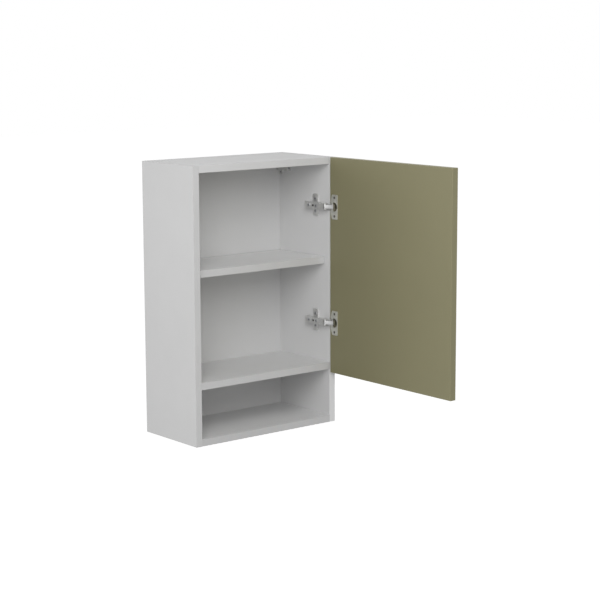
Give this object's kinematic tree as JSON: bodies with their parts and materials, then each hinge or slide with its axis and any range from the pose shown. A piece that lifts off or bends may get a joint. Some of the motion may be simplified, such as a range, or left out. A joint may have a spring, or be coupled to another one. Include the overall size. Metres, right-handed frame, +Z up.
{
  "type": "laundry wall cabinet",
  "caption": "Shallow wall cabinet of white-faced board with an olive overlay door on concealed hinges, an inner shelf, an open niche below and wall hangers.",
  "frame": {"origin": "on the wall plane at the rear edges of the boards, at the middle of the width and level with the underside of the bottom panel", "axes": "+X to the right as seen from the room, +Y towards the wall, +Z up"},
  "size_m": [0.45, 0.6767, 0.7],
  "materials": {
    "white_board": "matt white facing on board",
    "white_band": "matt white edge band",
    "back_board": "matt white facing on thin board",
    "olive_board": "matt olive green facing on board",
    "olive_band": "matt olive green edge band",
    "hinge_body": "satin nickel plate",
    "hinge_link": "bright nickel plate",
    "hinge_screw": "zinc plate",
    "fitting_metal": "zinc plate",
    "hanger_housing": "matt pale grey",
    "hanger_steel": "zinc plate",
    "dowel_wood": "plain beech"
  },
  "bodies": {
    "carcass": {"left_side_panel": "white_board", "right_side_panel": "white_board", "top_panel": "white_board", "bottom_panel": "white_board", "fixed_shelf": "white_board", "left_side_edge_band": "white_band", "right_side_edge_band": "white_band", "top_edge_band": "white_band", "bottom_edge_band": "white_band", "fixed_shelf_edge_band": "white_band", "back_panel": "back_board", "shelf_pins": "fitting_metal", "top_cam_locks": "fitting_metal", "fixed_shelf_cam_locks": "fitting_metal", "bottom_cam_locks": "fitting_metal", "left_cam_bolts": "fitting_metal", "right_cam_bolts": "fitting_metal", "left_dowels": "dowel_wood", "left_hanger_body": "hanger_housing", "left_hanger_hook": "hanger_steel", "left_hanger_adjusters": "hanger_steel", "left_hanger_screws": "hanger_steel", "right_dowels": "dowel_wood", "right_hanger_body": "hanger_housing", "right_hanger_hook": "hanger_steel", "right_hanger_adjusters": "hanger_steel", "right_hanger_screws": "hanger_steel", "upper_hinge_plate": "hinge_body", "upper_hinge_arm": "hinge_body", "upper_hinge_arm_pin": "hinge_link", "upper_hinge_plate_screws": "hinge_screw", "upper_hinge_arm_screws": "hinge_screw", "lower_hinge_plate": "hinge_body", "lower_hinge_arm": "hinge_body", "lower_hinge_arm_pin": "hinge_link", "lower_hinge_plate_screws": "hinge_screw", "lower_hinge_arm_screws": "hinge_screw"},
    "outer_links": {"upper_hinge_outer_link": "hinge_link", "lower_hinge_outer_link": "hinge_link"},
    "door": {"door_panel": "olive_board", "door_edge_bands": "olive_band", "upper_hinge_cup": "hinge_body", "upper_hinge_cup_pins": "hinge_link", "upper_hinge_cup_screws": "hinge_screw", "lower_hinge_cup": "hinge_body", "lower_hinge_cup_pins": "hinge_link", "lower_hinge_cup_screws": "hinge_screw"},
    "inner_links": {"upper_hinge_inner_link": "hinge_link", "upper_hinge_slide_pin": "hinge_link", "lower_hinge_inner_link": "hinge_link", "lower_hinge_slide_pin": "hinge_link"},
    "shelf": {"adjustable_shelf": "white_board", "adjustable_shelf_edge_band": "white_band"}
  },
  "joints": [
    {"name": "outer_link_swing", "type": "hinge", "parent": "carcass", "child": "outer_links", "pos_m": [0.1934, -0.2174, 0.35], "axis": [0, 0, 1], "range_deg": [-5.8, 26]},
    {"name": "door_swing", "type": "hinge", "parent": "outer_links", "child": "door", "pos_m": [0.20868, -0.23628, 0.35], "axis": [0, 0, 1], "range_deg": [-115.92, 25.76]},
    {"name": "inner_link_swing", "type": "hinge", "parent": "door", "child": "inner_links", "pos_m": [0.20498, -0.23428, 0.35], "axis": [0, 0, 1], "range_deg": [-28.5, 127.9]},
    {"name": "shelf_lift", "type": "slide", "parent": "carcass", "child": "shelf", "axis": [0, 0, 1], "range_m": [0, 0.1]}
  ],
  "couplings": [
    {"joint": "outer_link_swing", "follows": "door_swing", "ratio": -0.2236},
    {"joint": "inner_link_swing", "follows": "door_swing", "ratio": -1.1025}
  ]
}
